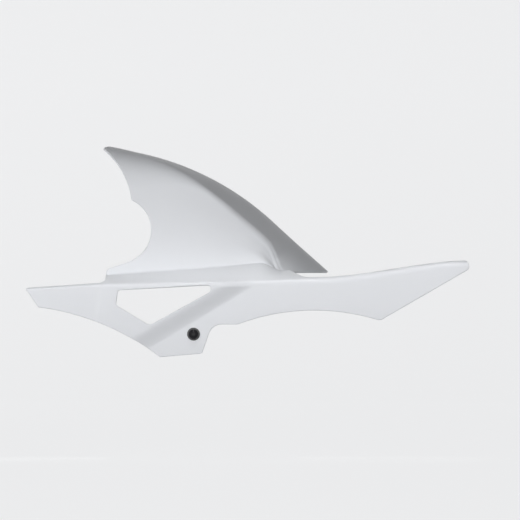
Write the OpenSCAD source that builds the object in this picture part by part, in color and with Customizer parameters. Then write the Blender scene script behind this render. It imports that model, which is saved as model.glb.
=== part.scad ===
// Rear hugger mudguard with a belt guard: one moulded sheet, two screws and two washers.
// Origin: rear screw's axis on the swingarm seat. +X to the front, +Y inboard, +Z up.

/* [Wheel] */
// Radius of the tyre
tyre_r = 315; // [305:1:325]
// Width of the tyre
tyre_w = 180; // [170:1:190]
// Wheel axis behind the rear screw
wheel_back = 144.4; // [138:0.2:150]
// Wheel axis below the rear screw
wheel_down = 122.1; // [116:0.2:128]

/* [Sheet] */
// Thickness of the moulded sheet
sheet = 3; // [2:0.25:4]

/* [Crown] */
// Gap between the tread and the crown
tread_gap = 40; // [30:1:48]
// Gap between the tyre and each side wall
side_gap = 11; // [7:0.5:14]
// How far the crown falls from its middle to its crease, at the rear
drop_rear = 7; // [4:0.5:12]
// Further fall of the crease towards the front
drop_front = 16; // [10:0.5:20]
// Last dip of the crease, at the front corner
drop_corner = 12; // [6:0.5:14]
// How far the side wall leans in towards the crease
wall_lean = 12; // [6:0.5:16]
// Flare of the crown's front lip
lip_flare = 10; // [4:0.5:12]
// Lift of the crown towards its rear tip
tail_lift = 2.7; // [0:0.1:4]
// Rounding of the shoulder at the soft rear end
soft_shoulder = 44; // [30:1:48]
// Rounding of the shoulder along the sharp front crease
sharp_shoulder = 6; // [5:0.5:10]
// Height of the second crease, above the wall's line
facet_rise = 2.5; // [0:0.25:4]
// Height of the crown's front edge above the rear screw
front_edge = 77.4; // [75:0.2:82]
// Radius of the scoop that shapes the fin's rear edge
scoop_r = 102; // [92:1:112]
// Radius of the round bay in the right wall
bay_r = 41.2; // [38:0.2:46]
// Depth of the plain left wall below the crown
left_depth = 92; // [70:1:110]

/* [Side rail] */
// Width of the ledge between the wall and the rail's outer face
ledge_w = 38; // [34:0.5:44]
// Height of the ledge's outer edge above the rear screw
ledge_h = 66.6; // [64:0.2:69]
// Rise of the ledge from its outer edge to the wall
ledge_rise = 14.3; // [10:0.1:18]
// Fall of the ledge beside the crown's front corner
ledge_dip = 11; // [8:0.5:13]
// Rounding of the rail's top edge
edge_r = 9; // [6:0.5:11]
// Rounding of the rear tip's top edge
tip_r = 4; // [3.5:0.5:6]
// Height that the rail gains towards its front tip
front_lift = 20.7; // [14:0.1:24]
// Depth of the slanting step behind the window
step_depth = 7; // [4:0.5:9]
// Width of the slanting step
step_w = 15; // [10:0.5:18]
// Depth by which the rear tip is set in
tip_inset = 0.5; // [0:0.1:3]
// Width of the top flange at the rear tip
tip_flange = 10; // [8:0.5:14]
// Width of the top flange on the front rail
front_flange = 13; // [11:0.5:18]

/* [Fixings] */
// Thread diameter of both screws
screw_d = 6; // [5:0.5:8]
// Diameter of the screws' neck, inside the sheet
neck_d = 5.2; // [4.6:0.1:5.6]
// Radial clearance of the screw holes
hole_gap = 0.3; // [0.2:0.05:0.6]
// Length of the shank past the sheet
screw_reach = 14; // [10:0.5:20]
// Diameter of the screw head
head_d = 12; // [11:0.5:14]
// Height of the screw head
head_h = 3.6; // [3:0.1:5]
// Outer diameter of the washer
washer_d = 16; // [15:0.5:20]
// Thickness of the washer
washer_t = 1.2; // [0.8:0.1:2]
// Distance of the front screw ahead of the rear one
front_screw_x = 228; // [218:1:232]
// Distance of the front screw inboard of the rail
front_screw_y = 20; // [17:0.5:26]
// Height of the front tab's seat above the rear screw
tab_h = 33; // [32:0.5:38]
// Width of the front tab
tab_w = 32; // [28:1:40]

/* [Hidden] */
$fn = 96;
paint = [0.9, 0.91, 0.93];
black = [0.1, 0.1, 0.11];

crown_r = tyre_r + tread_gap + sheet;
half_w = tyre_w / 2 + side_gap + sheet;
rail_y = -sheet - step_depth;
wall_y = rail_y + ledge_w;
wheel_in = wall_y + half_w;
wheel_x = -wheel_back;
wheel_z = -wheel_down;

// Places in the side view, as [x, z] from the rear screw
scoop_c = [-179.5, 153.5];
bay_c = [-94.9, 128.9];
bay_extra = 6;
blunt_tip = [[-116.4, 231.6], [-115.2, 233.8], [-109.6, 237], [-100, 250], [-130, 250], [-130, 231.6]];
belt_arc = [-230.9, -274.6, 310.5];
arm_arc = [149.3, -238.2, 267.5];
rear_end = -110;
corner_x = 110;
arch_start = 50;
tab_round = 11;
rib_t = 2.5;
rib_h = 20;
step_slope = 0.592;
step_z0 = 29.1;

// Corners of the side rail as [x, z, rounding]
rail_corners = [
    [341.5, 80.7, 5], [340, 92, 6], [325, 92.3, 0], [300, 120, 0], [-150, 120, 0], [-195, 61.5, 0],
    [-207.2, 60, 3], [-206.7, 55.7, 2], [-180, 15.5, 0], [-41.6, -45, 0], [-41.6, -28.5, 0],
    [10.6, -24, 2.5], [23, 12.2, 17], [60, 12, 0], [232.5, 17.6, 8]
];
window_corners = [
    [-93.1, 54.2, 1.5], [22, 61.4, 5], [21, 52.1, 4.5], [-54.2, 10.95, 10], [-95.8, 36.2, 2.5]
];

function smooth(t) = let (u = min(1, max(0, t))) u * u * (3 - 2 * u);
function unit(v) = v / norm(v);

// Arc points that round corner b, between neighbours a and c, each [x, y, rounding]
function corner_arc(a, b, c) =
    let (p = [b[0], b[1]], u = unit([a[0], a[1]] - p), v = unit([c[0], c[1]] - p),
         half = acos(u * v) / 2, centre = p + unit(u + v) * b[2] / sin(half),
         first = p + u * b[2] / tan(half) - centre, from = atan2(first[1], first[0]),
         turn = (cross(u, v) > 0 ? -1 : 1) * (180 - 2 * half))
    [for (i = [0:6]) centre + b[2] * [cos(from + turn * i / 6), sin(from + turn * i / 6)]];

function rounded(list) =
    let (n = len(list))
    [for (i = [0:n - 1])
        each (list[i][2] > 0
            ? corner_arc(list[(i + n - 1) % n], list[i], list[(i + 1) % n])
            : [[list[i][0], list[i][1]]])];

// Closed sheet between two grids of points, row by row, where row x column points out of the first
module sheet_between(first, second) {
    rows = len(first);
    cols = len(first[0]);
    all = rows * cols;
    points = concat([for (row = first) each row], [for (row = second) each row]);
    skin = [for (i = [0:rows - 2], j = [0:cols - 2])
        let (a = i * cols + j, b = a + 1, c = a + cols, d = c + 1)
        each [[a, b, d], [a, d, c], [all + a, all + d, all + b], [all + a, all + c, all + d]]];
    sides = [for (i = [0:rows - 2], j = [0, cols - 1])
        let (a = i * cols + j, c = a + cols)
        each (j == 0 ? [[a, c, all + c], [a, all + c, all + a]] : [[a, all + c, c], [a, all + a, all + c]])];
    ends = [for (i = [0, rows - 1], j = [0:cols - 2])
        let (a = i * cols + j, b = a + 1)
        each (i == 0 ? [[a, all + b, b], [a, all + a, all + b]] : [[a, b, all + b], [a, all + b, all + a]])];
    polyhedron(points, concat(skin, sides, ends), convexity = 6);
}

// Crown and walls: sections through the wheel axis, as [distance from the middle plane, radius]
front_angle = 32;
rear_angle = 88;
section_steps = 22;
crown_steps = 5;
shoulder_steps = 4;
wall_parts = [0.63, 0.5, 0.36, 0.22, 0.1, 0];
base_drop = 6;
side_split = 6;

function tail(a) = tail_lift * smooth((a - 78) / 8);
function outer_r(a) = crown_r + tail(a) + lip_flare * pow(max(0, 47 - a) / 12.5, 2);
function crease_r(a) =
    crown_r + tail(a) - drop_rear - drop_front * smooth((76 - a) / 26) - drop_corner * smooth((45.5 - a) / 8);
function base_r(a) = min((front_edge - base_drop + wheel_down) / sin(a), crease_r(a) - 1);
function shoulder(a) = sharp_shoulder + (soft_shoulder - sharp_shoulder) * smooth((a - 61) / 22);
function crease_w(a) = half_w - min(wall_lean, 0.35 * (crease_r(a) - base_r(a)));
function crown_at(a, q) = outer_r(a) - (outer_r(a) - crease_r(a)) * pow(q / crease_w(a), 2);
function facet(a, part) =
    facet_rise * smooth((51 - a) / 7) * max(0, 1 - abs(part - 0.63) * 4)
    * min(1, (crease_r(a) - base_r(a)) / 30);

// The sections take a depth, which is 0 on the outer face and the sheet's thickness on the inner one
function wall_at(a, part, depth) =
    let (height = crease_r(a) - base_r(a))
    [half_w - (half_w - crease_w(a)) * part * part + facet(a, part) - depth,
     base_r(a) + max(height - depth, 0.3 * height) * part];

function half_section(a, depth) =
    let (height = crease_r(a) - base_r(a), soft = shoulder(a), q0 = crease_w(a) - soft,
         p0 = [q0, crown_at(a, q0) - depth], p1 = [crease_w(a) - depth, wall_at(a, 1, depth)[1]],
         p2 = wall_at(a, 1 - min(soft, 0.3 * height) / height, depth))
    concat(
        [for (i = [0:crown_steps - 1])
            let (q = q0 * i / crown_steps) [q, crown_at(a, q) - depth]],
        [for (i = [0:shoulder_steps]) let (t = i / shoulder_steps)
            (1 - t) * (1 - t) * p0 + 2 * t * (1 - t) * p1 + t * t * p2],
        [for (part = wall_parts) wall_at(a, part, depth)],
        [[half_w - depth, base_r(a) - 9]]);

function full_section(a, depth) =
    let (half = half_section(a, depth), n = len(half))
    concat([for (i = [n - 1:-1:1]) [-half[i][0], half[i][1]]], half);

function place(a, p) = [wheel_x + p[1] * cos(a), wheel_in + p[0], wheel_z + p[1] * sin(a)];

module crown_sheet() {
    angles = [for (i = [0:section_steps]) front_angle + (rear_angle - front_angle) * i / section_steps];
    sheet_between(
        [for (a = angles) [for (p = full_section(a, sheet)) place(a, p)]],
        [for (a = angles) [for (p = full_section(a, 0)) place(a, p)]]);
}

// Side rail: cross-sections along X, from the lower edge up over the rounded edge and the ledge
function ledge_line(x) =
    ledge_h + 0.0242 * min(x, 150) + front_lift * smooth((x - 150) / 195)
    - 1.5 * smooth((rear_end - x) / 8) - 0.035 * max(0, rear_end - x);
function ledge_up(x) =
    ledge_rise * (1 + min(x, 150) / 300) - ledge_dip * smooth((x - 82) / 30)
    - (1.5 * ledge_rise - ledge_dip - 2) * smooth((x - 118) / 32);
function lean_at(r, up, run) = 2 * atan((sqrt(run * run + up * (up + 2 * r)) - run) / (up + 2 * r));
function top_r(x) = edge_r + (tip_r - edge_r) * smooth((rear_end + 2 - x) / 12);
function step_at(x, z) = smooth((step_z0 + step_slope * x - z) * cos(atan(step_slope)) / step_w + 0.5);
function tip_at(x, z) = smooth((rear_end - 3.5 - (65 - z) * 0.149 - x) / 6 + 0.5);
function face_y(x, z) = rail_y + step_depth * step_at(x, z) + tip_inset * tip_at(x, z);

rail_bottom = -36;
step_rows = [-0.62, -0.4, -0.2, 0, 0.2, 0.4, 0.62];
round_steps = 5;
rail_stations = concat(
    [-210, -165], [for (x = [-127:4:-107]) x], [-60, -10, 24], [for (x = [34:4:66]) x],
    [for (x = [80:6:122]) x], [for (x = [131:9:149]) x], [for (x = [165:17.7:342]) x], [345]);

function rail_section(x) =
    let (r = top_r(x), top = ledge_line(x), shelf = top - r, n = len(step_rows),
         y0 = face_y(x, shelf), lean = lean_at(r, ledge_up(x), wall_y - y0 - r),
         run = wall_y + sheet / 2 - y0 - r)
    concat(
        [[[face_y(x, rail_bottom), rail_bottom], [face_y(x, rail_bottom) + sheet, rail_bottom]]],
        [for (k = [0:n - 1])
            let (wish = step_z0 + step_slope * x + step_rows[k] * step_w / cos(atan(step_slope)),
                 z = min(shelf - (n - k) * 0.4, max(rail_bottom + (k + 1) * 0.4, wish)), y = face_y(x, z))
            [[y, z], [y + sheet, z]]],
        [for (i = [0:round_steps])
            let (a = (90 - lean) * i / round_steps, out = [-cos(a), sin(a)])
            [[y0 + r, shelf] + r * out, [y0 + r, shelf] + (r - sheet) * out]],
        [let (out = [-sin(lean), cos(lean)], end = [y0 + r, shelf] + run * [1, tan(lean)])
            [end + r * [0, 1 / cos(lean)], end + (r - sheet) * [0, 1 / cos(lean)]]]);

module rail_sheet() {
    sections = [for (x = rail_stations) rail_section(x)];
    last = len(rail_stations) - 1;
    sheet_between(
        [for (i = [0:last]) [for (p = sections[i]) [rail_stations[i], p[0][0], p[0][1]]]],
        [for (i = [0:last]) [for (p = sections[i]) [rail_stations[i], p[1][0], p[1][1]]]]);
}

// Solid that stands on a side view, from one Y to another
module across(y_from, y_to) {
    translate([0, y_to, 0]) rotate([90, 0, 0]) linear_extrude(y_to - y_from) children();
}

module right_view() {
    far = crown_r;
    wall_end = rear_end + 0.4;
    difference() {
        polygon(concat(
            rounded([[wall_end, wall_foot(wall_end), 0], [wall_end, 80.1, 6], [-78.6, 90.2, 0]]),
            [bay_c, [-90, 168], [-130, 230], [-130, far], [far, far], [far, front_edge]],
            [for (x = [corner_x + 3:-5:82]) [x, wall_foot(x)]]));
        translate(scoop_c) circle(scoop_r);
        translate(bay_c) circle(bay_r);
        polygon(blunt_tip);
    }
}

function wall_foot(x) = ledge_line(x) + ledge_up(x) - sheet / 2;

module left_view() {
    far = crown_r;
    difference() {
        polygon([[-130, front_edge], [-130, far], [far, far], [far, front_edge]]);
        translate(scoop_c) circle(scoop_r);
        translate(bay_c) circle(bay_r + bay_extra);
        translate([wheel_x, wheel_z]) circle(crown_r - left_depth);
        polygon(blunt_tip);
    }
}

module crown() {
    intersection() {
        crown_sheet();
        union() {
            across(wall_y - 20, wheel_in + side_split) right_view();
            across(wheel_in + side_split, wheel_in + half_w + 20) left_view();
        }
    }
}

// What the rail keeps in the view from above: the ledge, with a slanting web at each end
module rail_plan() {
    polygon(rounded([
        [-230, rail_y - 10, 0], [360, rail_y - 10, 0], [360, rail_y + step_depth + front_flange, 0],
        [corner_x + 30, rail_y + step_depth + front_flange, 8], [corner_x + 4, wall_y + 8, 0],
        [rear_end, wall_y + 8, 0], [rear_end, rail_y + tip_flange, 9], [-230, rail_y + tip_flange, 0]]));
}

module rail_view() {
    difference() {
        polygon(rounded(rail_corners));
        translate([belt_arc[0], belt_arc[1]]) circle(belt_arc[2]);
        intersection() {
            translate([arm_arc[0], arm_arc[1]]) circle(arm_arc[2]);
            translate([arch_start, -100]) square(200);
        }
        polygon(rounded(window_corners));
    }
}

module rail() {
    intersection() {
        rail_sheet();
        across(rail_y - 10, wall_y + 10) rail_view();
        translate([0, 0, -60]) linear_extrude(240) rail_plan();
    }
}

// Tab under the front rail that sits on the swingarm, with a rib at each side
module front_tab() {
    y0 = -sheet / 2;
    y1 = front_screw_y + tab_round;
    translate([front_screw_x, 0, 0]) {
        translate([0, 0, tab_h]) linear_extrude(sheet) polygon(rounded([
            [-tab_w / 2, y0, 0], [tab_w / 2, y0, 0], [tab_w / 2, y1, tab_round], [-tab_w / 2, y1, tab_round]]));
        for (side = [-1, 1])
            translate([side * (tab_w - rib_t) / 2 - rib_t / 2, 0, tab_h + sheet / 2])
                rotate([90, 0, 90]) linear_extrude(rib_t)
                    polygon([[y0, 0], [front_screw_y, 0], [y0, rib_h]]);
    }
}

module mudguard_shell() {
    color(paint) difference() {
        union() {
            crown();
            rail();
            front_tab();
        }
        at_rear(-sheet - 5) cylinder(h = sheet + 10, d = screw_d + 2 * hole_gap);
        at_front(-sheet - 5) cylinder(h = sheet + 10, d = screw_d + 2 * hole_gap);
    }
}

// Button-head screw along -Z from its head's seat, with a hexagon socket and a slim neck
module screw() {
    cap_r = (head_d * head_d / 4 + head_h * head_h) / (2 * head_h);
    difference() {
        union() {
            intersection() {
                translate([0, 0, head_h - cap_r]) sphere(cap_r);
                cylinder(h = head_h, d = head_d);
            }
            translate([0, 0, -sheet - washer_t - 0.5]) cylinder(h = sheet + washer_t + 1, d = neck_d);
            translate([0, 0, -sheet - washer_t - screw_reach]) cylinder(h = screw_reach, d = screw_d);
        }
        translate([0, 0, head_h - 2.2]) cylinder(h = 5, d = screw_d * 0.75, $fn = 6);
    }
}

module washer() {
    difference() {
        cylinder(h = washer_t, d = washer_d);
        translate([0, 0, -1]) cylinder(h = washer_t + 2, d = screw_d + 2 * hole_gap);
    }
}

// The rear fixing lies across the sheet, and the front one stands on its tab
module at_rear(lift) {
    translate([0, -sheet - lift, 0]) rotate([90, 0, 0]) children();
}

module at_front(lift) {
    translate([front_screw_x, front_screw_y, tab_h + sheet + lift]) children();
}

module mounting_screws() {
    color(black) {
        at_rear(washer_t) screw();
        at_front(washer_t) screw();
    }
}

module screw_washers() {
    color(black) {
        at_rear(0) washer();
        at_front(0) washer();
    }
}

mudguard_shell();
mounting_screws();
screw_washers();
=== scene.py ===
# Looks of a white rear hugger mudguard with a long side rail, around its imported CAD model.
# Lengths in the shape functions are in millimetres, and the meshes are made in metres.
# Circles are given as x, z and radius, corners as x, z and rounding radius.
import math

import bpy
import numpy as np
from mathutils import Matrix, Vector


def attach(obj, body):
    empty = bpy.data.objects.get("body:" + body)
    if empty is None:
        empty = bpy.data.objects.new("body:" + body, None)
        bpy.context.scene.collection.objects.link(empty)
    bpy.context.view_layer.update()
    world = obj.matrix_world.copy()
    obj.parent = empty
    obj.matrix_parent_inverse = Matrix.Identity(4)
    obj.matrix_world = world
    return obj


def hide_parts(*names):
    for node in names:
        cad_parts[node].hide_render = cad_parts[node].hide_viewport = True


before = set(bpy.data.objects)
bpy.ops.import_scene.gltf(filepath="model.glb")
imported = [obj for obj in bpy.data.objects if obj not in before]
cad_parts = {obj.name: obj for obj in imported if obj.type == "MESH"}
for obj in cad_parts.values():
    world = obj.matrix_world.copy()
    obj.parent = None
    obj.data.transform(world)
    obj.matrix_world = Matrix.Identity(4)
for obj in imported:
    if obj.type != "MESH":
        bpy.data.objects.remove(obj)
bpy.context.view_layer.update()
scene = bpy.context.scene
scene.view_settings.view_transform = "Standard"
millimetre = 0.001

# Camera: level and square to the side rail, 4 m from the middle of the crown
cameraSetup = {
    "place": (0.0822, -3.868, 0.0917), "focalLength": 216.3, "sensorWidth": 36.0, "clipEnd": 60.0}


def addCamera(setup):
    data = bpy.data.cameras.new("mainCamera")
    data.lens = setup["focalLength"]
    data.sensor_width = setup["sensorWidth"]
    data.clip_end = setup["clipEnd"]
    camera = bpy.data.objects.new("mainCamera", data)
    camera.location = setup["place"]
    camera.rotation_euler = (math.radians(90), 0, 0)
    scene.collection.objects.link(camera)
    scene.camera = camera


addCamera(cameraSetup)
print("camera placed")

# Shape of the sheet

# The crown's centre behind and below the origin, and the size of what it covers
hub = {"back": 144.4, "down": 122.1, "coveredRadius": 315.0, "coveredWidth": 180.0}

sheetFinish = {
    "thickness": 3.0, "edgeRound": 0.9, "rimTurns": (30, 60, 90), "screwHole": 3.3,
    "trimSteps": 14, "leastCut": 0.02, "arcSteps": 8,
}


def smooth(t):
    u = np.clip(t, 0, 1)
    return u * u * (3 - 2 * u)


# How much of a form has grown, from 0 at its start to 1 after its span. A span below zero
# runs backwards. Both are in degrees for the crown, and along X for the rail.
def grown(growth, at):
    start, span = growth
    return smooth((at - start) / span)


def shares(count, whole=True):
    return np.linspace(0, 1, count, endpoint=whole)[None, :]


crown = {
    "treadGap": 40.0, "sideGap": 11.0, "wallLean": 12.0, "leanShare": 0.35, "leastWall": 1.0,
    "dropRear": 7.0, "dropFront": 16.0, "dropCorner": 12.0, "tailLift": 2.7,
    "lipFlare": 10.0, "lipStart": 47.0, "lipSpan": 16.0, "lipReach": 12.5,
    "softShoulder": 44.0, "sharpShoulder": 6.0, "shoulderShare": 0.3,
    "facetRise": 2.2, "ridgeShare": 0.63, "ridgeSlope": 4.0, "ridgeRound": 0.006,
    "ridgeTop": 0.923, "ridgeHeight": 30.0, "facetFall": 1.8, "fallShare": 0.66, "fallSpan": 0.12,
    "foldDepth": 0.21, "foldWidth": 1.3, "frontEdge": 77.4, "baseDrop": 6.0, "leftDepth": 92.0,
    "scoop": (-179.5, 153.5, 102.0), "bay": (-94.9, 128.9, 41.2), "bayExtra": 6.0,
    "sideSplit": 6.0, "angles": (32.0, 88.0), "angleSteps": 132,
    "crownRows": 24, "shoulderRows": 14, "wallRows": 34, "footRows": (3.0, 6.0, 9.0),
    "tailGrowth": (78, 8), "dropGrowth": (76, -26), "cornerGrowth": (45.5, -8),
    "softGrowth": (61, 22), "riseGrowth": (51, -7), "fallGrowth": (46, -5),
    "foldGrowth": (45.5, -3.5),
}

crownRadius = hub["coveredRadius"] + crown["treadGap"] + sheetFinish["thickness"]
halfWidth = hub["coveredWidth"] / 2 + crown["sideGap"] + sheetFinish["thickness"]


# Radii of the crown at an angle round its centre, in degrees above the front
def tailLift(a):
    return crown["tailLift"] * grown(crown["tailGrowth"], a)


def outerRadius(a):
    flare = np.clip(crown["lipStart"] - a, 0, crown["lipSpan"]) / crown["lipReach"]
    return crownRadius + tailLift(a) + crown["lipFlare"] * flare ** 2


def creaseRadius(a):
    fall = crown["dropFront"] * grown(crown["dropGrowth"], a)
    fall = fall + crown["dropCorner"] * grown(crown["cornerGrowth"], a)
    return crownRadius + tailLift(a) - crown["dropRear"] - fall


def baseRadius(a):
    level = crown["frontEdge"] - crown["baseDrop"] + hub["down"]
    return np.minimum(level / np.sin(np.radians(a)), creaseRadius(a) - crown["leastWall"])


def creaseWidth(a):
    height = creaseRadius(a) - baseRadius(a)
    return halfWidth - np.minimum(crown["wallLean"], crown["leanShare"] * height)


def crownAt(a, q):
    return outerRadius(a) - (outerRadius(a) - creaseRadius(a)) * (q / creaseWidth(a)) ** 2


# Half width and radius at a share of the wall's height, with the facet near its front corner
def wallAt(a, part):
    height = creaseRadius(a) - baseRadius(a)
    away = crown["ridgeSlope"] * (part - crown["ridgeShare"])
    ridge = np.clip((1 - np.sqrt(away ** 2 + crown["ridgeRound"])) / crown["ridgeTop"], 0, 1)
    facet = crown["facetRise"] * grown(crown["riseGrowth"], a) * ridge
    facet = facet * np.minimum(1, height / crown["ridgeHeight"])
    above = smooth((part - crown["fallShare"]) / crown["fallSpan"])
    facet = facet - crown["facetFall"] * grown(crown["fallGrowth"], a) * above
    width = halfWidth - (halfWidth - creaseWidth(a)) * part ** 2 + facet
    return width, baseRadius(a) + height * part


# Half a section of the crown, from its middle over the shoulder and down the wall
def halfSection(a):
    height = creaseRadius(a) - baseRadius(a)
    sharp = crown["sharpShoulder"]
    soft = sharp + (crown["softShoulder"] - sharp) * grown(crown["softGrowth"], a)
    topPart = 1 - np.minimum(soft, crown["shoulderShare"] * height) / height
    start = creaseWidth(a) - soft
    q = start * shares(crown["crownRows"], False)
    top = np.stack([q, crownAt(a, q)], -1)
    t = shares(crown["shoulderRows"])
    ends = wallAt(a, topPart)
    bend = np.stack([
        (1 - t) ** 2 * start + 2 * t * (1 - t) * creaseWidth(a) + t * t * ends[0],
        (1 - t) ** 2 * crownAt(a, start) + 2 * t * (1 - t) * creaseRadius(a) + t * t * ends[1]], -1)
    away = (t - 0.5) * 2 * sharp / crown["foldWidth"]
    fold = crown["foldDepth"] * grown(crown["foldGrowth"], a) * np.exp(-away * away)
    bend = bend - fold[..., None]
    part = topPart * (1 - shares(crown["wallRows"] + 1)[:, 1:])
    wall = np.stack(wallAt(a, part), -1)
    down = baseRadius(a) - np.array([crown["footRows"]])
    foot = np.stack([np.full_like(down, halfWidth), down], -1)
    return np.concatenate([top, bend, wall, foot], 1)


def crownGrid():
    a = np.linspace(*crown["angles"], crown["angleSteps"])[:, None]
    half = halfSection(a)
    other = half[:, :0:-1].copy()
    other[..., 0] *= -1
    section = np.concatenate([other, half], 1)
    turn = np.radians(a)
    return np.stack([
        section[..., 1] * np.cos(turn) - hub["back"],
        section[..., 0] + middlePlane,
        section[..., 1] * np.sin(turn) - hub["down"]], -1)


# The growths whose names begin with tip start from the rear end
rail = {
    "ledgeWidth": 38.0, "ledgeHeight": 66.6, "ledgeSlope": 0.0242, "slopeEnd": 150.0,
    "ledgeRise": 14.3, "riseRun": 300.0, "ledgeDip": 11.0, "frontRise": 2.0, "frontLift": 20.7,
    "edgeRound": 9.0, "tipRound": 4.0, "tipDrop": 1.5, "tipSlope": 0.035,
    "stepDepth": 7.0, "stepWidth": 24.0, "stepSlope": 0.592, "stepHeight": 28.0,
    "tipInset": 0.5, "tipSoftness": 6.0, "tipStart": 3.5, "tipHeight": 65.0, "tipLean": 0.149,
    "tipFlange": 10.0, "frontFlange": 13.0, "rearEnd": -110.0, "cornerX": 110.0,
    "rearArc": (-230.9, -274.6, 310.5), "frontArc": (149.3, -238.2, 267.5), "archStart": 50.0,
    "span": (-209.0, 344.0), "bottom": -47.0, "columnStep": 1.75,
    "faceRows": 62, "roundRows": 10, "ledgeRows": 16,
    "liftGrowth": (150, 195), "dipGrowth": (82, 30), "levelGrowth": (118, 32),
    "tipDropGrowth": (0, -8), "tipRoundGrowth": (2, -12),
}

railFace = -sheetFinish["thickness"] - rail["stepDepth"]
wallFace = railFace + rail["ledgeWidth"]
middlePlane = wallFace + halfWidth


# The side rail in cross-sections along X: the height of its top edge, the ledge's rise from
# there to the wall, and the place of its face
def ledgeLine(x):
    rise = rail["ledgeSlope"] * np.minimum(x, rail["slopeEnd"])
    fall = rail["tipDrop"] * grown(rail["tipDropGrowth"], x - rail["rearEnd"])
    fall = fall + rail["tipSlope"] * np.maximum(0, rail["rearEnd"] - x)
    lift = rail["frontLift"] * grown(rail["liftGrowth"], x)
    return rail["ledgeHeight"] + rise + lift - fall


def ledgeUp(x):
    rise = rail["ledgeRise"] * (1 + np.minimum(x, rail["slopeEnd"]) / rail["riseRun"])
    highest = rail["ledgeRise"] * (1 + rail["slopeEnd"] / rail["riseRun"])
    dipped = rise - rail["ledgeDip"] * grown(rail["dipGrowth"], x)
    left = highest - rail["ledgeDip"] - rail["frontRise"]
    return dipped - left * grown(rail["levelGrowth"], x)


def railFaceAt(x, z):
    slope = rail["stepSlope"]
    above = rail["stepHeight"] + slope * x - z
    across = above * math.cos(math.atan(slope)) / rail["stepWidth"]
    tipEnd = rail["rearEnd"] - rail["tipStart"] - (rail["tipHeight"] - z) * rail["tipLean"]
    tip = smooth((tipEnd - x) / rail["tipSoftness"] + 0.5)
    return railFace + rail["stepDepth"] * smooth(across + 0.5) + rail["tipInset"] * tip


# Rounding of the top edge, its height, the face there and the ledge's lean
def railEdge(x):
    sharper = grown(rail["tipRoundGrowth"], x - rail["rearEnd"])
    r = rail["edgeRound"] + (rail["tipRound"] - rail["edgeRound"]) * sharper
    shelf = ledgeLine(x) - r
    face = railFaceAt(x, shelf)
    run, up = wallFace - face - r, ledgeUp(x)
    lean = 2 * np.arctan((np.sqrt(run * run + up * (up + 2 * r)) - run) / (up + 2 * r))
    return r, shelf, face, lean


def railGrid():
    low, high = rail["span"]
    bottom = rail["bottom"]
    x = np.linspace(low, high, round((high - low) / rail["columnStep"]) + 1)[:, None]
    r, shelf, edge, lean = railEdge(x)
    z = bottom + (shelf - bottom) * shares(rail["faceRows"], False)
    face = np.stack([railFaceAt(x, z), z], -1)
    turn = (math.pi / 2 - lean) * shares(rail["roundRows"])
    bend = np.stack([edge + r - r * np.cos(turn), shelf + r * np.sin(turn)], -1)
    run = wallFace + sheetFinish["thickness"] / 2 - bend[:, -1:, 0]
    out = run * shares(rail["ledgeRows"] + 1)[:, 1:]
    ledge = np.stack([bend[:, -1:, 0] + out, bend[:, -1:, 1] + out * np.tan(lean)], -1)
    section = np.concatenate([face, bend, ledge], 1)
    along = np.broadcast_to(x[..., None], section.shape[:2] + (1,))
    return np.concatenate([along, section], -1)


# Outlines, some with corners beyond the sheet, where they cut nothing

railCorners = [
    (341.5, 80.7, 5), (340, 92, 6), (325, 92.3, 0), (300, 120, 0), (-150, 120, 0), (-195, 61.5, 0),
    (-207.2, 60, 3), (-206.7, 55.7, 2), (-180, 15.5, 0), (-41.6, -45, 0), (-41.6, -28.5, 0),
    (10.6, -24, 2.5), (23, 12.2, 17), (60, 12, 0), (232.5, 17.6, 8)]
windowCorners = [
    (-93.1, 54.2, 1.5), (22, 61.4, 5), (21, 52.1, 4.5), (-54.2, 10.95, 10), (-95.8, 36.2, 2.5)]


def rounded(corners, steps):
    points = []
    for i, (x, z, r) in enumerate(corners):
        here = np.array([x, z], float)
        if not r:
            points.append(here)
            continue
        u = np.array(corners[i - 1][:2]) - here
        v = np.array(corners[(i + 1) % len(corners)][:2]) - here
        u, v = u / np.linalg.norm(u), v / np.linalg.norm(v)
        half = math.acos(u @ v) / 2
        centre = here + (u + v) / np.linalg.norm(u + v) * r / math.sin(half)
        first = here + u * r / math.tan(half) - centre
        turn = (-1 if u[0] * v[1] - u[1] * v[0] > 0 else 1) * (math.pi - 2 * half)
        for k in range(steps + 1):
            c, s = math.cos(turn * k / steps), math.sin(turn * k / steps)
            points.append(centre + [c * first[0] - s * first[1], s * first[0] + c * first[1]])
    return np.array(points)


# Distance to a polygon's edge, above zero inside it
def insidePolygon(points, u, v):
    nearest = np.full(u.shape, np.inf)
    inside = np.zeros(u.shape, bool)
    for a, b in zip(points, np.roll(points, -1, 0)):
        along = b - a
        t = np.clip(((u - a[0]) * along[0] + (v - a[1]) * along[1]) / (along @ along), 0, 1)
        away = np.hypot(u - a[0] - t * along[0], v - a[1] - t * along[1])
        nearest = np.minimum(nearest, away)
        if a[1] != b[1]:
            crossing = (a[1] > v) != (b[1] > v)
            inside ^= crossing & (u < a[0] + along[0] * (v - a[1]) / along[1])
    return np.where(inside, nearest, -nearest)


def outsideCircle(circle, u, v):
    return np.hypot(u - circle[0], v - circle[1]) - circle[2]


def wallFoot(x):
    return ledgeLine(x) + ledgeUp(x) - sheetFinish["thickness"] / 2


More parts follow.
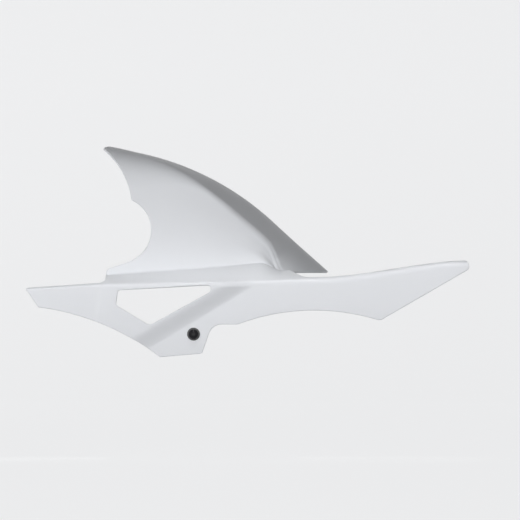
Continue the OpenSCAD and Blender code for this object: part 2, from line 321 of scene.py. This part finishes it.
rearEnd, frontEdge, cornerX = rail["rearEnd"], crown["frontEdge"], rail["cornerX"]
innerFace = railFace + rail["stepDepth"]
wallEnd = rearEnd + 0.4
arcSteps = sheetFinish["arcSteps"]
railOutline = rounded(railCorners, arcSteps)
windowOutline = rounded(windowCorners, arcSteps)
planOutline = rounded([
    (-230, railFace - 20, 0), (360, railFace - 20, 0),
    (360, innerFace + rail["frontFlange"], 0), (cornerX + 30, innerFace + rail["frontFlange"], 8),
    (cornerX + 4, wallFace + 8, 0), (rearEnd, wallFace + 8, 0),
    (rearEnd, railFace + rail["tipFlange"], 9), (-230, railFace + rail["tipFlange"], 0)], arcSteps)
rightOutline = np.array(
    list(rounded([(wallEnd, wallFoot(wallEnd), 0), (wallEnd, 80.1, 6), (-78.6, 90.2, 0)], arcSteps))
    + [crown["bay"][:2], (-90, 168), (-130, 230), (-130, 400), (400, 400), (400, frontEdge)]
    + [(x, wallFoot(x)) for x in np.arange(cornerX + 3, 82, -5)])
bluntTip = np.array([
    (-116.4, 231.6), (-115.2, 233.8), (-109.6, 237), (-100, 250), (-130, 250), (-130, 231.6)])
leftOutline = np.array([(-130, frontEdge), (-130, 400), (400, 400), (400, frontEdge)])


def railInside(p):
    x, y, z = p[..., 0], p[..., 1], p[..., 2]
    arch = np.maximum(outsideCircle(rail["frontArc"], x, z), rail["archStart"] - x)
    return np.minimum.reduce([
        insidePolygon(railOutline, x, z), -insidePolygon(windowOutline, x, z),
        outsideCircle(rail["rearArc"], x, z), arch, insidePolygon(planOutline, x, y),
        outsideCircle((0, 0, sheetFinish["screwHole"]), x, z)])


def crownInside(p):
    x, y, z = p[..., 0], p[..., 1], p[..., 2]
    right = np.minimum(insidePolygon(rightOutline, x, z), outsideCircle(crown["bay"], x, z))
    inner = (-hub["back"], -hub["down"], crownRadius - crown["leftDepth"])
    leftBay = crown["bay"][:2] + (crown["bay"][2] + crown["bayExtra"],)
    left = np.minimum.reduce([
        insidePolygon(leftOutline, x, z), outsideCircle(inner, x, z), outsideCircle(leftBay, x, z)])
    tips = np.minimum(outsideCircle(crown["scoop"], x, z), -insidePolygon(bluntTip, x, z))
    return np.minimum(np.where(y < middlePlane + crown["sideSplit"], right, left), tips)


# Sheet with thickness and rounded edges

def unitRows(v, leastLength=1e-9):
    return v / np.maximum(np.linalg.norm(v, axis=-1, keepdims=True), leastLength)


# Which grid points are kept, the grid's edges that leave the outline, and where they do
def cutPairs(points, index, insideOf, margin):
    kept = insideOf(points) > margin
    pairs = []
    for a, b in ((index[:-1], index[1:]), (index[:, :-1], index[:, 1:])):
        cut = kept[a] != kept[b]
        pairs.append(np.stack([a[cut], b[cut]], 1))
    pairs = np.vstack(pairs)
    turned = ~kept[pairs[:, 0]]
    pairs[turned] = pairs[turned][:, ::-1]
    low, high = np.zeros(len(pairs)), np.ones(len(pairs))
    for _ in range(sheetFinish["trimSteps"]):
        t = (low + high) / 2
        here = points[pairs[:, 0]] * (1 - t[:, None]) + points[pairs[:, 1]] * t[:, None]
        good = insideOf(here) > margin
        low, high = np.where(good, t, low), np.where(good, high, t)
    return kept, pairs, np.maximum(low, sheetFinish["leastCut"])[:, None]


# The grid's cells that are kept, trimmed where the outline crosses them
def trimmedFaces(index, kept, pairs):
    cutId = {tuple(sorted(pair)): index.size + k for k, pair in enumerate(pairs.tolist())}
    quads = np.stack([index[:-1, :-1], index[1:, :-1], index[1:, 1:], index[:-1, 1:]], -1)
    quads = quads.reshape(-1, 4)
    count = kept[quads].sum(1)
    faces = quads[count == 4].tolist()
    for quad in quads[(count > 0) & (count < 4)].tolist():
        ring = []
        for a, b in zip(quad, quad[1:] + quad[:1]):
            if kept[a]:
                ring.append(a)
            if kept[a] != kept[b]:
                ring.append(cutId[(min(a, b), max(a, b))])
        faces.append(ring)
    return faces


# Loops of points along the open edges of the faces
def openLoops(faces):
    directed = {(a, b) for f in faces for a, b in zip(f, f[1:] + f[:1])}
    following = {a: b for a, b in directed if (b, a) not in directed}
    loops = []
    while following:
        start, here = next(iter(following.items()))
        del following[start]
        loop = [start]
        while here != start:
            loop.append(here)
            here = following.pop(here)
        loops.append(loop)
    return loops


# A grid of points trimmed to an outline, given a thickness and a rounded rim
def trimmedSheet(grid, insideOf, faceOut):
    thick, r = sheetFinish["thickness"], sheetFinish["edgeRound"]
    normal = unitRows(np.cross(np.gradient(grid, axis=0), np.gradient(grid, axis=1)))
    if np.sum(normal * faceOut(grid)) < 0:
        normal = -normal
    index = np.arange(grid[..., 0].size).reshape(grid.shape[:2])
    points, normals = grid.reshape(-1, 3), normal.reshape(-1, 3)
    kept, pairs, t = cutPairs(points, index, insideOf, r)
    points = np.vstack([points, points[pairs[:, 0]] * (1 - t) + points[pairs[:, 1]] * t])
    between = normals[pairs[:, 0]] * (1 - t) + normals[pairs[:, 1]] * t
    normals = np.vstack([normals, unitRows(between)])
    faces = trimmedFaces(index, kept, pairs)
    corner, ahead, across = points[faces[0][:3]]
    if np.cross(ahead - corner, across - corner) @ normals[faces[0][0]] < 0:
        faces = [f[::-1] for f in faces]

    total = len(points)
    allPoints, allNormals = [points, points - thick * normals], [normals, -normals]
    under = [np.zeros(total), np.ones(total)]
    allFaces = faces + [[v + total for v in reversed(f)] for f in faces]
    used = 2 * total
    turns = np.radians(sheetFinish["rimTurns"])
    profile = [(r * math.sin(t), r - r * math.cos(t), t) for t in turns]
    profile += [(out, thick - deep, math.pi - t) for out, deep, t in reversed(profile)]
    for loop in openLoops(faces):
        place, up, n = points[loop], normals[loop], len(loop)
        out = unitRows(np.cross(np.roll(place, -1, 0) - np.roll(place, 1, 0), up))
        rings = [list(loop)]
        for k, (away, deep, t) in enumerate(profile):
            allPoints.append(place + out * away - up * deep)
            allNormals.append(unitRows(up * math.cos(t) + out * math.sin(t)))
            under.append(np.full(n, 0.0 if k < len(turns) else 1.0))
            rings.append(list(range(used, used + n)))
            used += n
        rings.append([v + total for v in loop])
        for a, b in zip(rings, rings[1:]):
            allFaces += [[a[(i + 1) % n], a[i], b[i], b[(i + 1) % n]] for i in range(n)]
    return np.vstack(allPoints), np.vstack(allNormals), allFaces, np.concatenate(under)


# Start and rear growth from the rear end, front growth from the fillet's own end
fillet = {
    "round": 4.0, "leastRound": 0.8, "start": 1.5, "end": 101.0, "columns": 122, "rows": 9,
    "sunkIn": 1.2, "sunkDown": 0.4, "backNormal": (0.0, 0.7, -0.7),
    "rearGrowth": (1, 22), "frontGrowth": (0, -14),
}


# Rounded corner that fills the foot of the right wall, where it stands on the ledge
def footFillet():
    x = np.linspace(rearEnd + fillet["start"], fillet["end"], fillet["columns"])
    full = grown(fillet["rearGrowth"], x - rearEnd)
    full = full * grown(fillet["frontGrowth"], x - fillet["end"])
    r = fillet["leastRound"] + (fillet["round"] - fillet["leastRound"]) * full
    lean = railEdge(x)[3]
    wallZ = ledgeLine(x) + ledgeUp(x)
    centreZ = wallZ + r / np.cos(lean) - r * np.tan(lean)
    reach = np.hypot(x + hub["back"], centreZ + hub["down"])
    a = np.degrees(np.arctan2(centreZ + hub["down"], x + hub["back"]))
    part = (reach - baseRadius(a)) / (creaseRadius(a) - baseRadius(a))
    wallY = middlePlane - wallAt(a, np.clip(part, 0, 1))[0]
    centre = np.stack([x, wallY - r, centreZ], -1)
    rows = []
    for t in shares(fillet["rows"])[0]:
        turn = (lean - math.pi / 2) * (1 - t)
        away = np.stack([0 * x, np.cos(turn), np.sin(turn)], -1)
        rows.append((centre + r[:, None] * away, -away))
    back = centre + np.stack([0 * x, r + fillet["sunkIn"], -r - fillet["sunkDown"]], -1)
    rows.append((back, np.tile(fillet["backNormal"], (len(x), 1))))
    n, m = len(x), len(rows)
    points = np.stack([p for p, _ in rows], 1).reshape(-1, 3)
    normals = np.stack([q for _, q in rows], 1).reshape(-1, 3)
    faces = []
    for i in range(n - 1):
        for j in range(m):
            a, b = i * m + j, i * m + (j + 1) % m
            faces.append([a, a + m, b + m, b])
    faces += [list(range(m)), [(n - 1) * m + j for j in reversed(range(m))]]
    return points, normals, faces, np.zeros(len(points))


# One mesh from several parts, without the points that no face uses
def joinParts(name, parts):
    points, normals, faces, under, used = [], [], [], [], 0
    for p, q, f, u in parts:
        order = np.unique(np.concatenate([np.array(ring) for ring in f]))
        place = np.full(len(p), -1)
        place[order] = np.arange(len(order)) + used
        faces += [[int(place[v]) for v in ring] for ring in f]
        points.append(p[order])
        normals.append(q[order])
        under.append(u[order])
        used += len(order)
    mesh = bpy.data.meshes.new(name)
    mesh.from_pydata((np.vstack(points) * millimetre).tolist(), [], faces)
    mask = mesh.attributes.new("underside", "FLOAT", "POINT")
    mask.data.foreach_set("value", np.concatenate(under))
    mesh.polygons.foreach_set("use_smooth", [True] * len(mesh.polygons))
    mesh.normals_split_custom_set_from_vertices(np.vstack(normals).tolist())
    mesh.update()
    piece = bpy.data.objects.new(name, mesh)
    scene.collection.objects.link(piece)
    return piece


shell = joinParts("hugger", [
    trimmedSheet(crownGrid(), crownInside, lambda p: p - [-hub["back"], middlePlane, -hub["down"]]),
    trimmedSheet(railGrid(), railInside, lambda p: np.broadcast_to([0, -1.0, 0.2], p.shape)),
    footFillet()])
print("shell built with", len(shell.data.polygons), "faces")

# Front tab under the rail

frontTab = {
    "x": 228.0, "y": 20.0, "seat": 33.0, "width": 32.0, "round": 11.0, "rib": 2.5,
    "ribHeight": 20.0, "bevel": 0.35, "bevelSteps": 2, "roundSteps": 12, "holeSteps": 48,
}


def flatPiece(name, loops, thickness, place):
    curve = bpy.data.curves.new(name, "CURVE")
    curve.dimensions, curve.fill_mode = "2D", "BOTH"
    curve.extrude, curve.bevel_depth = thickness / 2 - frontTab["bevel"], frontTab["bevel"]
    curve.bevel_resolution = frontTab["bevelSteps"]
    curve.offset = -frontTab["bevel"]
    for loop in loops:
        spline = curve.splines.new("POLY")
        spline.points.add(len(loop) - 1)
        for point, (u, v) in zip(spline.points, loop):
            point.co = (u, v, 0, 1)
        spline.use_cyclic_u = True
    source = bpy.data.objects.new(name, curve)
    scene.collection.objects.link(source)
    depsgraph = bpy.context.evaluated_depsgraph_get()
    mesh = bpy.data.meshes.new_from_object(source.evaluated_get(depsgraph))
    bpy.data.objects.remove(source)
    mesh.transform(place)
    return mesh


def tabPiece(t):
    thick, radius = sheetFinish["thickness"], sheetFinish["screwHole"]
    half, seat, root, end = t["width"] / 2, t["seat"] + thick / 2, -thick / 2, t["y"] + t["round"]
    outline = rounded([
        (-half, root, 0), (half, root, 0), (half, end, t["round"]), (-half, end, t["round"])],
        t["roundSteps"])
    turns = [math.tau * k / t["holeSteps"] for k in range(t["holeSteps"])]
    hole = [(math.cos(turn) * radius, t["y"] - math.sin(turn) * radius) for turn in turns]
    rib = [(root, 0), (t["y"], 0), (root, t["ribHeight"])]
    upright = Matrix(((0, 0, 1, 0), (1, 0, 0, 0), (0, 1, 0, 0), (0, 0, 0, 1)))
    meshes = [flatPiece("tab", [outline, hole], thick, Matrix.Translation((t["x"], 0, seat)))]
    for side in (-1, 1):
        move = Matrix.Translation((t["x"] + side * (t["width"] - t["rib"]) / 2, 0, seat))
        meshes.append(flatPiece("rib", [rib], t["rib"], move @ upright))
    joined = bpy.data.meshes.new("frontTab")
    points, faces = [], []
    for mesh in meshes:
        base = len(points)
        points += [tuple(v.co * millimetre) for v in mesh.vertices]
        faces += [[base + i for i in p.vertices] for p in mesh.polygons]
        bpy.data.meshes.remove(mesh)
    joined.from_pydata(points, [], faces)
    joined.update()
    piece = bpy.data.objects.new("frontTab", joined)
    scene.collection.objects.link(piece)
    return piece


tab = tabPiece(frontTab)
print("front tab built")

# Fasteners, made with Geometry Nodes

fastenerMesh = {
    "domeSegments": 72, "domeRings": 96, "mergeDistance": 1e-5, "leastRadius": 1e-6,
    "hexagonSides": 6, "cutterDepth": 0.006,
    "shankSegments": 48, "shankRings": 120, "threadFade": 1500.0, "shankLift": 0.0004,
    "washerSegments": 72, "washerRounding": 3,
}


class NodeTree:
    def __init__(self, name, kind, inputs, outputs):
        self.tree = bpy.data.node_groups.new(name, kind)
        interface = self.tree.interface
        for socketName, socketType, value in inputs:
            socket = interface.new_socket(socketName, in_out="INPUT", socket_type=socketType)
            if value is not None:
                socket.default_value = value
        for socketName, socketType in outputs:
            interface.new_socket(socketName, in_out="OUTPUT", socket_type=socketType)
        self.start = self.tree.nodes.new("NodeGroupInput")
        self.end = self.tree.nodes.new("NodeGroupOutput")

    def add(self, kind, links=None, **settings):
        node = self.tree.nodes.new(kind)
        for key, value in settings.items():
            setattr(node, key, value)
        for key, value in (links or {}).items():
            self.feed(node.inputs[key], value)
        return node

    def feed(self, socket, value):
        if isinstance(value, bpy.types.NodeSocket):
            self.tree.links.new(value, socket)
        elif isinstance(value, bpy.types.Node):
            self.tree.links.new(value.outputs[0], socket)
        else:
            socket.default_value = value

    def given(self, name):
        return self.start.outputs[name]

    def math(self, operation, a, b=0.0):
        return self.add("ShaderNodeMath", {0: a, 1: b}, operation=operation).outputs[0]

    def plus(self, a, b):
        return self.math("ADD", a, b)

    def minus(self, a, b):
        return self.math("SUBTRACT", a, b)

    def times(self, a, b):
        return self.math("MULTIPLY", a, b)

    def position(self):
        return self.add("ShaderNodeSeparateXYZ", {0: self.add("GeometryNodeInputPosition")}).outputs

    def moved(self, geometry, x, y, z):
        spot = self.add("ShaderNodeCombineXYZ", {0: x, 1: y, 2: z})
        return self.add("GeometryNodeSetPosition", {"Geometry": geometry, "Position": spot})

    def lifted(self, geometry, height):
        up = self.add("ShaderNodeCombineXYZ", {2: height})
        return self.add("GeometryNodeTransform", {"Geometry": geometry, "Translation": up})


# Instances on the seat points, turned so that +Z follows the seat's direction
def onSeats(t, geometry):
    seat = t.add(
        "GeometryNodeInputNamedAttribute", {"Name": "seatDirection"}, data_type="FLOAT_VECTOR")
    turn = t.add(
        "FunctionNodeAlignRotationToVector", {"Vector": seat.outputs["Attribute"]}, axis="Z")
    placed = t.add("GeometryNodeInstanceOnPoints", {
        "Points": t.given("Geometry"), "Instance": geometry, "Rotation": turn})
    real = t.add("GeometryNodeRealizeInstances", {"Geometry": placed})
    finished = t.add("GeometryNodeSetMaterial", {
        "Geometry": real, "Material": t.given("Material")})
    t.feed(t.end.inputs[0], finished)
    return t.tree


# Button head: a dome with a flat underside and a hexagon socket
def screwHead(t, m):
    radius, height = t.times(t.given("Head Width"), 0.5), t.given("Head Height")
    square = t.plus(t.times(radius, radius), t.times(height, height))
    domeRadius = t.math("DIVIDE", square, t.times(height, 2.0))
    dome = t.add("GeometryNodeMeshUVSphere", {
        "Segments": m["domeSegments"], "Rings": m["domeRings"], "Radius": domeRadius})
    x, y, z = t.position()
    z = t.plus(z, t.minus(height, domeRadius))
    away = t.math("SQRT", t.plus(t.times(x, x), t.times(y, y)))
    away = t.math("MAXIMUM", away, m["leastRadius"])
    shrink = t.math("MINIMUM", t.math("DIVIDE", radius, away), 1.0)
    head = t.moved(dome, t.times(x, shrink), t.times(y, shrink), t.math("MAXIMUM", z, 0.0))
    merged = t.add("GeometryNodeMergeByDistance", {
        "Geometry": head, "Distance": m["mergeDistance"]})
    hexagon = t.add("GeometryNodeMeshCylinder", {
        "Vertices": m["hexagonSides"], "Radius": t.times(t.given("Socket Size"), 0.5),
        "Depth": m["cutterDepth"]})
    socketFloor = t.minus(height, t.given("Socket Depth"))
    cutter = t.lifted(hexagon, t.plus(socketFloor, m["cutterDepth"] / 2))
    return t.add("GeometryNodeMeshBoolean", {"Mesh 1": merged, "Mesh 2": cutter},
                 operation="DIFFERENCE")


# Shank with a plain neck below the head and a thread under it
def screwShank(t, m):
    width, length = t.given("Shank Width"), t.given("Shank Length")
    shank = t.add("GeometryNodeMeshCylinder", {
        "Vertices": m["shankSegments"], "Side Segments": m["shankRings"],
        "Radius": t.times(width, 0.5), "Depth": length})
    x, y, z = t.position()
    angle = t.math("DIVIDE", t.math("ARCTAN2", y, x), math.tau)
    turns = t.plus(t.math("DIVIDE", z, t.given("Thread Pitch")), angle)
    wave = t.math("PINGPONG", t.math("FRACT", turns), 0.5)
    top = t.times(length, 0.5)
    below = t.minus(t.minus(top, t.given("Neck Length")), z)
    fade = t.math("MINIMUM", t.math("MAXIMUM", t.times(below, m["threadFade"]), 0.0), 1.0)
    groove = t.times(t.times(t.times(wave, 2.0), t.given("Thread Depth")), fade)
    waist = t.times(t.minus(width, t.given("Neck Width")), 0.5)
    depth = t.plus(groove, t.times(waist, t.minus(1.0, fade)))
    scale = t.minus(1.0, t.math("DIVIDE", depth, t.times(width, 0.5)))
    thread = t.moved(shank, t.times(x, scale), t.times(y, scale), z)
    return t.lifted(thread, t.minus(m["shankLift"], top))


def screwTree():
    t = NodeTree("buttonScrew", "GeometryNodeTree", [
        ("Geometry", "NodeSocketGeometry", None), ("Head Width", "NodeSocketFloat", 0.012),
        ("Head Height", "NodeSocketFloat", 0.0036), ("Socket Size", "NodeSocketFloat", 0.0045),
        ("Socket Depth", "NodeSocketFloat", 0.0022), ("Shank Width", "NodeSocketFloat", 0.006),
        ("Shank Length", "NodeSocketFloat", 0.0182), ("Thread Pitch", "NodeSocketFloat", 0.001),
        ("Thread Depth", "NodeSocketFloat", 0.0005), ("Neck Length", "NodeSocketFloat", 0.0042),
        ("Neck Width", "NodeSocketFloat", 0.0052), ("Material", "NodeSocketMaterial", None)],
        [("Geometry", "NodeSocketGeometry")])
    head, shank = screwHead(t, fastenerMesh), screwShank(t, fastenerMesh)
    both = t.add("GeometryNodeJoinGeometry")
    t.feed(both.inputs[0], head)
    t.feed(both.inputs[0], shank)
    return onSeats(t, both)


# Flat washer with rounded edges
def washerTree():
    t = NodeTree("roundedWasher", "GeometryNodeTree", [
        ("Geometry", "NodeSocketGeometry", None), ("Outer Width", "NodeSocketFloat", 0.016),
        ("Inner Width", "NodeSocketFloat", 0.0066), ("Thickness", "NodeSocketFloat", 0.0012),
        ("Edge Round", "NodeSocketFloat", 0.0004), ("Material", "NodeSocketMaterial", None)],
        [("Geometry", "NodeSocketGeometry")])
    outer, inner, thick = t.given("Outer Width"), t.given("Inner Width"), t.given("Thickness")
    path = t.add("GeometryNodeCurvePrimitiveCircle", {
        "Resolution": fastenerMesh["washerSegments"],
        "Radius": t.times(t.plus(outer, inner), 0.25)}, mode="RADIUS")
    outline = t.add("GeometryNodeCurvePrimitiveQuadrilateral", {
        "Width": t.times(t.minus(outer, inner), 0.5), "Height": thick})
    profile = t.add("GeometryNodeFilletCurve", {
        "Curve": outline, "Count": fastenerMesh["washerRounding"],
        "Radius": t.given("Edge Round")}, mode="POLY")
    ring = t.add("GeometryNodeCurveToMesh", {"Curve": path, "Profile Curve": profile})
    return onSeats(t, t.lifted(ring, t.times(thick, 0.5)))


# Materials

finishes = {
    "whitePaint": {
        "colour": (0.78, 0.795, 0.825, 1), "underColour": (0.70, 0.715, 0.745, 1),
        "roughness": (0.38, 0.5), "coat": (0.16, 0.02),
        "sockets": {"Specular IOR Level": 0.08, "Coat Roughness": 0.25, "IOR": 1.5},
        "bump": {"Strength": 0.05, "Distance": 0.0004},
        "ripple": {"Wave Scale": 230.0, "Grain Scale": 1500.0, "Grain Share": 0.15}},
    "blackCoating": {
        "roughness": (0.14, 0.26),
        "sockets": {"Base Color": (0.012, 0.012, 0.014, 1), "Specular IOR Level": 0.06,
                    "Coat Weight": 0.14, "Coat Roughness": 0.1},
        "bump": {"Strength": 0.1, "Distance": 0.0002},
        "ripple": {"Wave Scale": 900.0, "Grain Scale": 3200.0, "Grain Share": 0.5}},
    "blackNylon": {
        "roughness": (0.37, 0.5), "sockets": {"Base Color": (0.014, 0.014, 0.015, 1)},
        "bump": {"Strength": 0.12, "Distance": 0.0002},
        "ripple": {"Wave Scale": 700.0, "Grain Scale": 3600.0, "Grain Share": 0.6}},
}

mottle = {"scale": 22.0, "detail": 3.0, "waveDetail": 1.0, "grainDetail": 2.0}


# Fine waviness of a sprayed or moulded surface, shared by the three finishes
def surfaceRipple():
    t = NodeTree("surfaceRipple", "ShaderNodeTree", [
        ("Wave Scale", "NodeSocketFloat", 260.0), ("Grain Scale", "NodeSocketFloat", 1400.0),
        ("Grain Share", "NodeSocketFloat", 0.2)],
        [("Height", "NodeSocketFloat"), ("Mottle", "NodeSocketFloat")])
    place = t.add("ShaderNodeTexCoord").outputs["Object"]
    wave, grain, broad = [
        t.add("ShaderNodeTexNoise", {"Vector": place, "Scale": scale, "Detail": detail})
        for scale, detail in (
            (t.given("Wave Scale"), mottle["waveDetail"]),
            (t.given("Grain Scale"), mottle["grainDetail"]), (mottle["scale"], mottle["detail"]))]
    mix = t.add("ShaderNodeMix", {0: t.given("Grain Share"), 2: wave, 3: grain})
    t.feed(t.end.inputs["Height"], mix)
    t.feed(t.end.inputs["Mottle"], broad)
    return t.tree


ripple = surfaceRipple()


def setSockets(node, values):
    for name, value in values.items():
        node.inputs[name].default_value = value


def newMaterial(name):
    material = bpy.data.materials.new(name)
    material.use_nodes = True
    nodes = material.node_tree.nodes
    return material, nodes, material.node_tree.links, nodes["Principled BSDF"]


def addRipple(nodes, links, shader, look):
    group = nodes.new("ShaderNodeGroup")
    group.node_tree = ripple
    setSockets(group, look["ripple"])
    bump = nodes.new("ShaderNodeBump")
    setSockets(bump, look["bump"])
    links.new(group.outputs["Height"], bump.inputs["Height"])
    links.new(bump.outputs["Normal"], shader.inputs["Normal"])
    return group


# A mix between two ends: numbers take the node's inputs 2 and 3, colours 6 and 7
def addMix(nodes, links, kind, factor, ends, target):
    mix = nodes.new("ShaderNodeMix")
    mix.data_type = kind
    first, second, out = (2, 3, 0) if kind == "FLOAT" else (6, 7, 2)
    links.new(factor, mix.inputs[0])
    mix.inputs[first].default_value, mix.inputs[second].default_value = ends
    links.new(mix.outputs[out], target)


def whitePaint(look):
    material, nodes, links, shader = newMaterial("whitePaint")
    setSockets(shader, look["sockets"])
    under = nodes.new("ShaderNodeAttribute")
    under.attribute_name = "underside"
    for kind, ends, socket in (
            ("RGBA", (look["colour"], look["underColour"]), "Base Color"),
            ("FLOAT", look["roughness"], "Roughness"), ("FLOAT", look["coat"], "Coat Weight")):
        addMix(nodes, links, kind, under.outputs["Fac"], ends, shader.inputs[socket])
    addRipple(nodes, links, shader, look)
    return material


def blackFinish(name, look):
    material, nodes, links, shader = newMaterial(name)
    setSockets(shader, look["sockets"])
    group = addRipple(nodes, links, shader, look)
    addMix(nodes, links, "FLOAT", group.outputs["Mottle"], look["roughness"],
           shader.inputs["Roughness"])
    return material


paint = whitePaint(finishes["whitePaint"])
screwBlack = blackFinish("blackCoating", finishes["blackCoating"])
washerBlack = blackFinish("blackNylon", finishes["blackNylon"])
print("materials made")

# Fasteners in place

screwSizes = {
    "Head Width": 0.012, "Head Height": 0.0036, "Socket Size": 0.0045, "Shank Length": 0.0182}
washerSizes = {"Outer Width": 0.016, "Inner Width": 0.0066, "Thickness": 0.0012}
seats = [((0, -0.003, 0), (0, -1, 0)), ((0.228, 0.020, 0.036), (0, 0, 1))]
sharpAngles = {"fastener": 32, "tab": 30}


def smoothByAngle(mesh, degrees):
    mesh.polygons.foreach_set("use_smooth", [True] * len(mesh.polygons))
    mesh.set_sharp_from_angle(angle=math.radians(degrees))


# A fastener on each seat, made into a plain mesh
def seatedPiece(name, tree, sizes, material, lift):
    mesh = bpy.data.meshes.new(name)
    mesh.from_pydata([Vector(p) + Vector(d) * lift for p, d in seats], [], [])
    direction = mesh.attributes.new("seatDirection", "FLOAT_VECTOR", "POINT")
    direction.data.foreach_set("vector", [c for _, d in seats for c in d])
    source = bpy.data.objects.new(name + "Seats", mesh)
    scene.collection.objects.link(source)
    modifier = source.modifiers.new(name, "NODES")
    modifier.node_group = tree
    values = {**sizes, "Material": material}
    for item in tree.interface.items_tree:
        if item.item_type == "SOCKET" and item.in_out == "INPUT" and item.name in values:
            modifier[item.identifier] = values[item.name]
    depsgraph = bpy.context.evaluated_depsgraph_get()
    evaluated = source.evaluated_get(depsgraph)
    plain = bpy.data.meshes.new_from_object(evaluated, depsgraph=depsgraph)
    bpy.data.objects.remove(source)
    plain.name = name
    smoothByAngle(plain, sharpAngles["fastener"])
    piece = bpy.data.objects.new(name, plain)
    scene.collection.objects.link(piece)
    return piece


screws = seatedPiece(
    "buttonScrews", screwTree(), screwSizes, screwBlack, washerSizes["Thickness"])
washers = seatedPiece("nylonWashers", washerTree(), washerSizes, washerBlack, 0.0)
print("fasteners built")

smoothByAngle(tab.data, sharpAngles["tab"])
for piece in (shell, tab):
    piece.data.materials.append(paint)

# Each piece, the CAD node it replaces and its material slot
roles = [
    (shell, "mudguard_shell", "white_shell"), (tab, "mudguard_shell", "white_shell"),
    (screws, "mounting_screws", "black_screw"), (washers, "screw_washers", "black_washer")]
for piece, node, slot in roles:
    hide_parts(node)
    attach(piece, "root")

# Floor, backdrop and light

studio = {
    "floorHeight": -0.16, "nearEdge": -6.0, "backDepth": 1.6, "sweepRadius": 0.6,
    "sweepSteps": 16, "width": 9.0, "height": 3.0,
    "floorColour": (0.72, 0.725, 0.735, 1), "floorRoughness": 0.9,
    "backdropColour": (0.985, 0.99, 1.0, 1), "backdrop": 0.95, "backdropShare": 0.85,
    "ambientColour": (0.90, 0.95, 1.0, 1), "ambient": 0.01,
}


# Share of a ray that sees the plain backdrop: all but the rays that carry light to a surface
def backdropRay(nodes, links):
    path = nodes.new("ShaderNodeLightPath")
    total = path.outputs["Is Camera Ray"]
    for kind in ("Is Glossy Ray", "Is Transmission Ray"):
        joined = nodes.new("ShaderNodeMath")
        joined.operation, joined.use_clamp = "ADD", True
        links.new(total, joined.inputs[0])
        links.new(path.outputs[kind], joined.inputs[1])
        total = joined.outputs[0]
    return total


def mixShaders(nodes, links, factor, first, second):
    mix = nodes.new("ShaderNodeMixShader")
    for socket, source in zip(mix.inputs, (factor, first, second)):
        links.new(source, socket)
    return mix.outputs[0]


# Floor that bends up into a wall, clear from behind
def addStudio(s):
    back, z, r = s["backDepth"], s["floorHeight"], s["sweepRadius"]
    rows = [(s["nearEdge"], z)]
    for k in range(s["sweepSteps"] + 1):
        turn = math.radians(90) * k / s["sweepSteps"]
        rows.append((back + r * math.sin(turn), z + r * (1 - math.cos(turn))))
    rows.append((back + r, s["height"]))
    points = [(x, y, z) for y, z in rows for x in (-s["width"] / 2, s["width"] / 2)]
    faces = [[2 * k, 2 * k + 1, 2 * k + 3, 2 * k + 2] for k in range(len(rows) - 1)]
    mesh = bpy.data.meshes.new("studioSweep")
    mesh.from_pydata(points, [], faces)
    mesh.polygons.foreach_set("use_smooth", [True] * len(faces))
    sweep = bpy.data.objects.new("studioSweep", mesh)
    scene.collection.objects.link(sweep)
    material, nodes, links, shader = newMaterial("paleFloor")
    setSockets(shader, {"Base Color": s["floorColour"], "Roughness": s["floorRoughness"]})
    glow = nodes.new("ShaderNodeEmission")
    setSockets(glow, {"Color": s["backdropColour"], "Strength": s["backdrop"]})
    share = nodes.new("ShaderNodeMath")
    share.operation = "MULTIPLY"
    share.inputs[1].default_value = s["backdropShare"]
    links.new(backdropRay(nodes, links), share.inputs[0])
    lit = mixShaders(nodes, links, share.outputs[0], shader.outputs[0], glow.outputs[0])
    side = nodes.new("ShaderNodeNewGeometry").outputs["Backfacing"]
    clear = nodes.new("ShaderNodeBsdfTransparent").outputs[0]
    oneSided = mixShaders(nodes, links, side, lit, clear)
    links.new(oneSided, nodes["Material Output"].inputs["Surface"])
    mesh.materials.append(material)


def addWorld(s):
    world = bpy.data.worlds.new("studioWorld")
    scene.world = world
    world.use_nodes = True
    nodes, links = world.node_tree.nodes, world.node_tree.links
    ambient, white = nodes["Background"], nodes.new("ShaderNodeBackground")
    setSockets(ambient, {"Color": s["ambientColour"], "Strength": s["ambient"]})
    setSockets(white, {"Color": s["backdropColour"], "Strength": s["backdrop"]})
    both = mixShaders(
        nodes, links, backdropRay(nodes, links), ambient.outputs[0], white.outputs[0])
    links.new(both, nodes["World Output"].inputs["Surface"])


lamps = {
    "rearKey": {
        "place": (-1.6, -3.8, 0.34), "target": (0.05, 0.05, 0.1), "size": (2.4, 1.1), "power": 82},
    "frontFill": {
        "place": (0.75, -3.9, 0.26), "target": (0.05, 0.05, 0.1), "size": (1.8, 1.8), "power": 53},
    "topLight": {
        "place": (-0.3, -2.2, 1.9), "target": (0.0, 0.0, 0.1), "size": (2.4, 1.4), "power": 3},
    "ledgeStrip": {
        "place": (0.0, -0.27, 0.93), "target": (0.0, 0.004, 0.07), "size": (0.7, 0.05),
        "power": 0.056, "spread": 6},
    "backLeft": {
        "place": (1.4, 1.6, 0.0), "target": (0.05, 0.1, 0.05), "size": (0.8, 0.28), "power": 2},
    "backRight": {
        "place": (-1.4, 1.6, 0.0), "target": (0.05, 0.1, 0.05), "size": (0.8, 0.28), "power": 9},
}


def addLamp(name, lamp):
    data = bpy.data.lights.new(name, "AREA")
    data.shape = "RECTANGLE"
    data.size, data.size_y = lamp["size"]
    data.energy = lamp["power"]
    data.spread = math.radians(lamp.get("spread", 180))
    light = bpy.data.objects.new(name, data)
    light.location = lamp["place"]
    aim = Vector(lamp["target"]) - Vector(lamp["place"])
    light.rotation_euler = aim.to_track_quat("-Z", "Y").to_euler()
    scene.collection.objects.link(light)


addStudio(studio)
addWorld(studio)
for name, lamp in lamps.items():
    addLamp(name, lamp)
print("studio lit")
